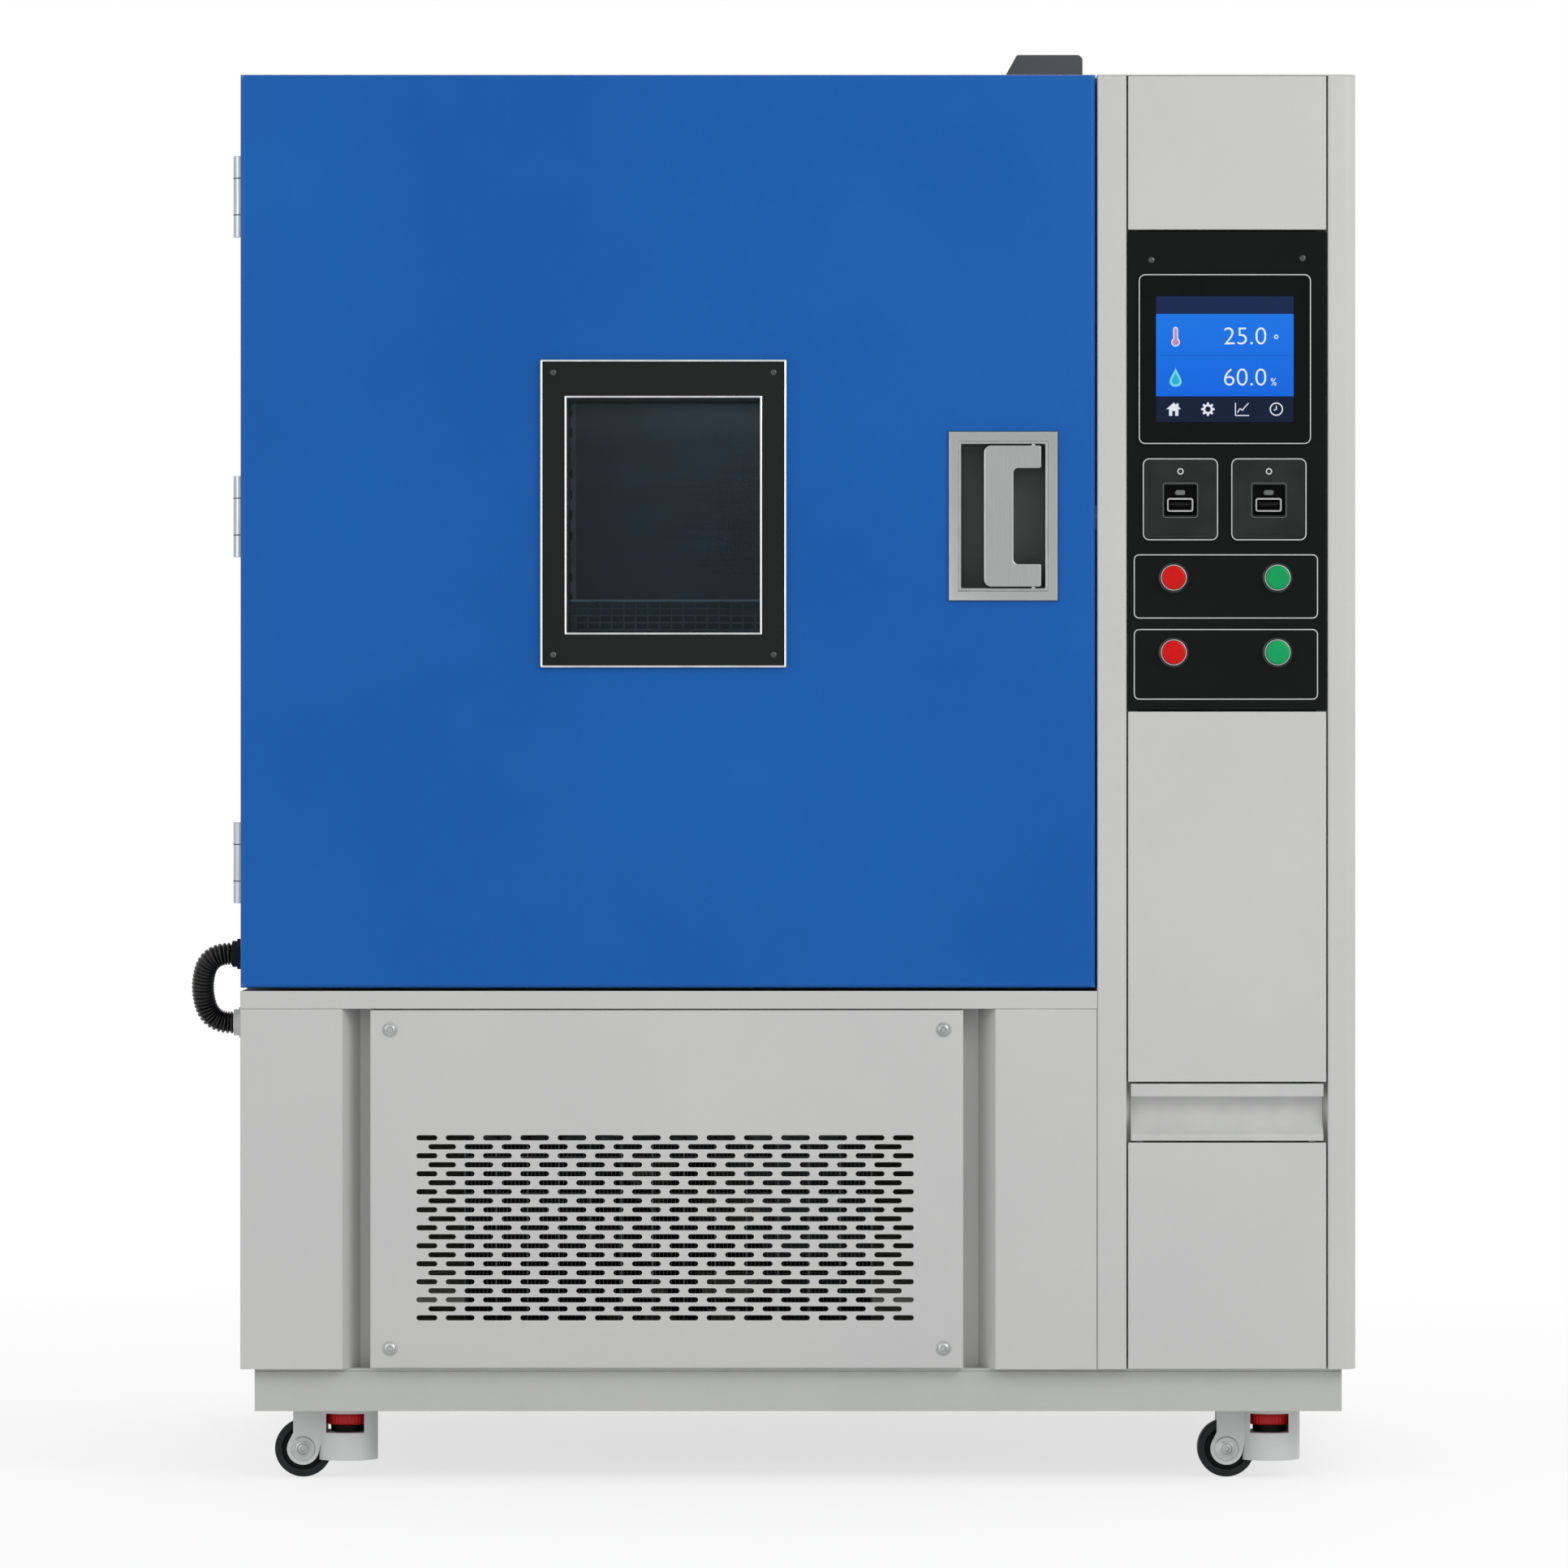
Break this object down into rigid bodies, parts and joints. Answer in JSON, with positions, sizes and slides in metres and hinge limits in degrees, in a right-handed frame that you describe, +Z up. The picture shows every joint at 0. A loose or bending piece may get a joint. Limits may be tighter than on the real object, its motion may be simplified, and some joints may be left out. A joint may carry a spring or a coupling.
{
  "type": "environmental test chamber",
  "caption": "Insulated temperature and humidity cabinet on levelling casters, with a hinged windowed door, a control column and a slotted machine grille.",
  "frame": {"origin": "on the floor, under the middle of the bounding box's footprint", "axes": "+Z up, +X to the viewer's right when facing the door, +Y from front to back"},
  "size_m": [1.3005, 1.0585, 1.599],
  "materials": {
    "door_blue": "textured powder coat",
    "body_grey": "textured powder coat",
    "base_grey": "powder coat",
    "black_panel": "fine textured black",
    "black_frame": "satin black with bright trims",
    "screen": "black bezel with a glass display",
    "dark_plastic": "moulded dark plastic",
    "red_cap": "glossy red cap",
    "green_cap": "glossy green cap",
    "bright_steel": "satin chrome",
    "stainless": "brushed stainless",
    "foam": "rigid foam",
    "seal": "moulded seal",
    "glass": "clear glass",
    "hose_black": "corrugated",
    "fins": "mill finish",
    "motor": "painted",
    "caster_grey": "cast and painted",
    "wheel": "hard nylon",
    "thumb_red": "ribbed red plastic",
    "foot_rubber": "foot pad on a steel stud",
    "water_tray": "moulded grey plastic"
  },
  "bodies": {
    "cabinet": {"air_baffle": "stainless", "base_frame": "base_grey", "button_collars": "bright_steel", "column_panels": "body_grey", "column_post": "body_grey", "compressor": "motor", "condenser": "fins", "control_panel": "black_panel", "drawer_runners": "stainless", "fan_motors": "motor", "grille_panel": "body_grey", "hinge_cabinet_leaves": "bright_steel", "hose": "hose_black", "inner_liner": "stainless", "insulation": "foam", "lower_covers": "body_grey", "outer_shell": "body_grey", "plenum_coils": "fins", "port_modules": "dark_plastic", "rear_panel": "body_grey", "right_side_panel": "body_grey", "shelf_rails": "stainless", "sill_rail": "body_grey", "touchscreen": "screen", "vent_cap": "black_frame", "wire_shelves": "stainless"},
    "door": {"door_panel": "door_blue", "door_core": "foam", "door_liner": "stainless", "door_gasket": "seal", "window_frame": "black_frame", "window_glass": "glass", "handle_pan": "bright_steel", "hinge_door_leaves": "bright_steel", "door_gland": "dark_plastic"},
    "grip": {"handle_grip": "bright_steel"},
    "latch": {"latch_bolt": "stainless"},
    "drawer": {"water_drawer": "water_tray"},
    "chamber_fan": {"circulation_fan": "fins"},
    "machine_fan": {"condenser_fan": "dark_plastic"},
    "power": {"power_button": "red_cap"},
    "run": {"run_button": "green_cap"},
    "alarm": {"alarm_button": "red_cap"},
    "light": {"light_button": "green_cap"},
    "caster_front_left": {"caster_housing_front_left": "caster_grey"},
    "wheel_front_left": {"caster_wheel_front_left": "wheel"},
    "thumb_front_left": {"thumbwheel_front_left": "thumb_red"},
    "foot_front_left": {"levelling_foot_front_left": "foot_rubber"},
    "caster_front_right": {"caster_housing_front_right": "caster_grey"},
    "wheel_front_right": {"caster_wheel_front_right": "wheel"},
    "thumb_front_right": {"thumbwheel_front_right": "thumb_red"},
    "foot_front_right": {"levelling_foot_front_right": "foot_rubber"},
    "caster_rear_left": {"caster_housing_rear_left": "caster_grey"},
    "wheel_rear_left": {"caster_wheel_rear_left": "wheel"},
    "thumb_rear_left": {"thumbwheel_rear_left": "thumb_red"},
    "foot_rear_left": {"levelling_foot_rear_left": "foot_rubber"},
    "caster_rear_right": {"caster_housing_rear_right": "caster_grey"},
    "wheel_rear_right": {"caster_wheel_rear_right": "wheel"},
    "thumb_rear_right": {"thumbwheel_rear_right": "thumb_red"},
    "foot_rear_right": {"levelling_foot_rear_right": "foot_rubber"}
  },
  "joints": [
    {"name": "door_swing", "type": "hinge", "parent": "cabinet", "child": "door", "pos_m": [-0.6274, -0.431, 1], "axis": [0, 0, -1], "range_deg": [0, 120], "deforming": ["hose"]},
    {"name": "grip_turn", "type": "hinge", "parent": "door", "child": "grip", "pos_m": [0.2616, -0.52, 1.074], "axis": [0, 0, 1], "range_deg": [0, 40], "stiffness_Nm_per_rad": 0.5},
    {"name": "latch_slide", "type": "slide", "parent": "door", "child": "latch", "axis": [-1, 0, 0], "range_m": [0, 0.014]},
    {"name": "drawer_slide", "type": "slide", "parent": "cabinet", "child": "drawer", "axis": [0, -1, 0], "range_m": [0, 0.16]},
    {"name": "chamber_fan_spin", "type": "hinge", "parent": "cabinet", "child": "chamber_fan", "pos_m": [-0.14385, 0.3, 1.24], "axis": [0, 1, 0], "continuous": true},
    {"name": "machine_fan_spin", "type": "hinge", "parent": "cabinet", "child": "machine_fan", "pos_m": [-0.1461, -0.32, 0.2513], "axis": [0, 1, 0], "continuous": true},
    {"name": "power_press", "type": "slide", "parent": "cabinet", "child": "power", "axis": [0, 1, 0], "range_m": [0, 0.0035], "stiffness_N_per_m": 300, "springref_m": -0.002},
    {"name": "run_press", "type": "slide", "parent": "cabinet", "child": "run", "axis": [0, 1, 0], "range_m": [0, 0.0035], "stiffness_N_per_m": 300, "springref_m": -0.002},
    {"name": "alarm_press", "type": "slide", "parent": "cabinet", "child": "alarm", "axis": [0, 1, 0], "range_m": [0, 0.0035], "stiffness_N_per_m": 300, "springref_m": -0.002},
    {"name": "light_press", "type": "slide", "parent": "cabinet", "child": "light", "axis": [0, 1, 0], "range_m": [0, 0.0035], "stiffness_N_per_m": 300, "springref_m": -0.002},
    {"name": "caster_front_left_swivel", "type": "hinge", "parent": "cabinet", "child": "caster_front_left", "pos_m": [-0.5055, -0.44, 0.075], "axis": [0, 0, 1], "continuous": true},
    {"name": "wheel_front_left_roll", "type": "hinge", "parent": "caster_front_left", "child": "wheel_front_left", "pos_m": [-0.5545, -0.44, 0.032], "axis": [0, 1, 0], "continuous": true},
    {"name": "foot_front_left_lower", "type": "slide", "parent": "caster_front_left", "child": "foot_front_left", "axis": [0, 0, -1], "range_m": [0, 0.022]},
    {"name": "thumb_front_left_turn", "type": "hinge", "parent": "caster_front_left", "child": "thumb_front_left", "pos_m": [-0.5055, -0.44, 0.06], "axis": [0, 0, 1], "range_deg": [0, 3960]},
    {"name": "caster_front_right_swivel", "type": "hinge", "parent": "cabinet", "child": "caster_front_right", "pos_m": [0.5289, -0.44, 0.075], "axis": [0, 0, 1], "continuous": true},
    {"name": "wheel_front_right_roll", "type": "hinge", "parent": "caster_front_right", "child": "wheel_front_right", "pos_m": [0.4799, -0.44, 0.032], "axis": [0, 1, 0], "continuous": true},
    {"name": "foot_front_right_lower", "type": "slide", "parent": "caster_front_right", "child": "foot_front_right", "axis": [0, 0, -1], "range_m": [0, 0.022]},
    {"name": "thumb_front_right_turn", "type": "hinge", "parent": "caster_front_right", "child": "thumb_front_right", "pos_m": [0.5289, -0.44, 0.06], "axis": [0, 0, 1], "range_deg": [0, 3960]},
    {"name": "caster_rear_left_swivel", "type": "hinge", "parent": "cabinet", "child": "caster_rear_left", "pos_m": [-0.5055, 0.44, 0.075], "axis": [0, 0, 1], "continuous": true},
    {"name": "wheel_rear_left_roll", "type": "hinge", "parent": "caster_rear_left", "child": "wheel_rear_left", "pos_m": [-0.5545, 0.44, 0.032], "axis": [0, 1, 0], "continuous": true},
    {"name": "foot_rear_left_lower", "type": "slide", "parent": "caster_rear_left", "child": "foot_rear_left", "axis": [0, 0, -1], "range_m": [0, 0.022]},
    {"name": "thumb_rear_left_turn", "type": "hinge", "parent": "caster_rear_left", "child": "thumb_rear_left", "pos_m": [-0.5055, 0.44, 0.06], "axis": [0, 0, 1], "range_deg": [0, 3960]},
    {"name": "caster_rear_right_swivel", "type": "hinge", "parent": "cabinet", "child": "caster_rear_right", "pos_m": [0.5289, 0.44, 0.075], "axis": [0, 0, 1], "continuous": true},
    {"name": "wheel_rear_right_roll", "type": "hinge", "parent": "caster_rear_right", "child": "wheel_rear_right", "pos_m": [0.4799, 0.44, 0.032], "axis": [0, 1, 0], "continuous": true},
    {"name": "foot_rear_right_lower", "type": "slide", "parent": "caster_rear_right", "child": "foot_rear_right", "axis": [0, 0, -1], "range_m": [0, 0.022]},
    {"name": "thumb_rear_right_turn", "type": "hinge", "parent": "caster_rear_right", "child": "thumb_rear_right", "pos_m": [0.5289, 0.44, 0.06], "axis": [0, 0, 1], "range_deg": [0, 3960]}
  ],
  "couplings": [
    {"joint": "latch_slide", "follows": "grip_turn", "m_per_rad": 0.02005},
    {"joint": "thumb_front_left_turn", "follows": "foot_front_left_lower", "rad_per_m": 3141.6},
    {"joint": "thumb_front_right_turn", "follows": "foot_front_right_lower", "rad_per_m": 3141.6},
    {"joint": "thumb_rear_left_turn", "follows": "foot_rear_left_lower", "rad_per_m": 3141.6},
    {"joint": "thumb_rear_right_turn", "follows": "foot_rear_right_lower", "rad_per_m": 3141.6}
  ]
}
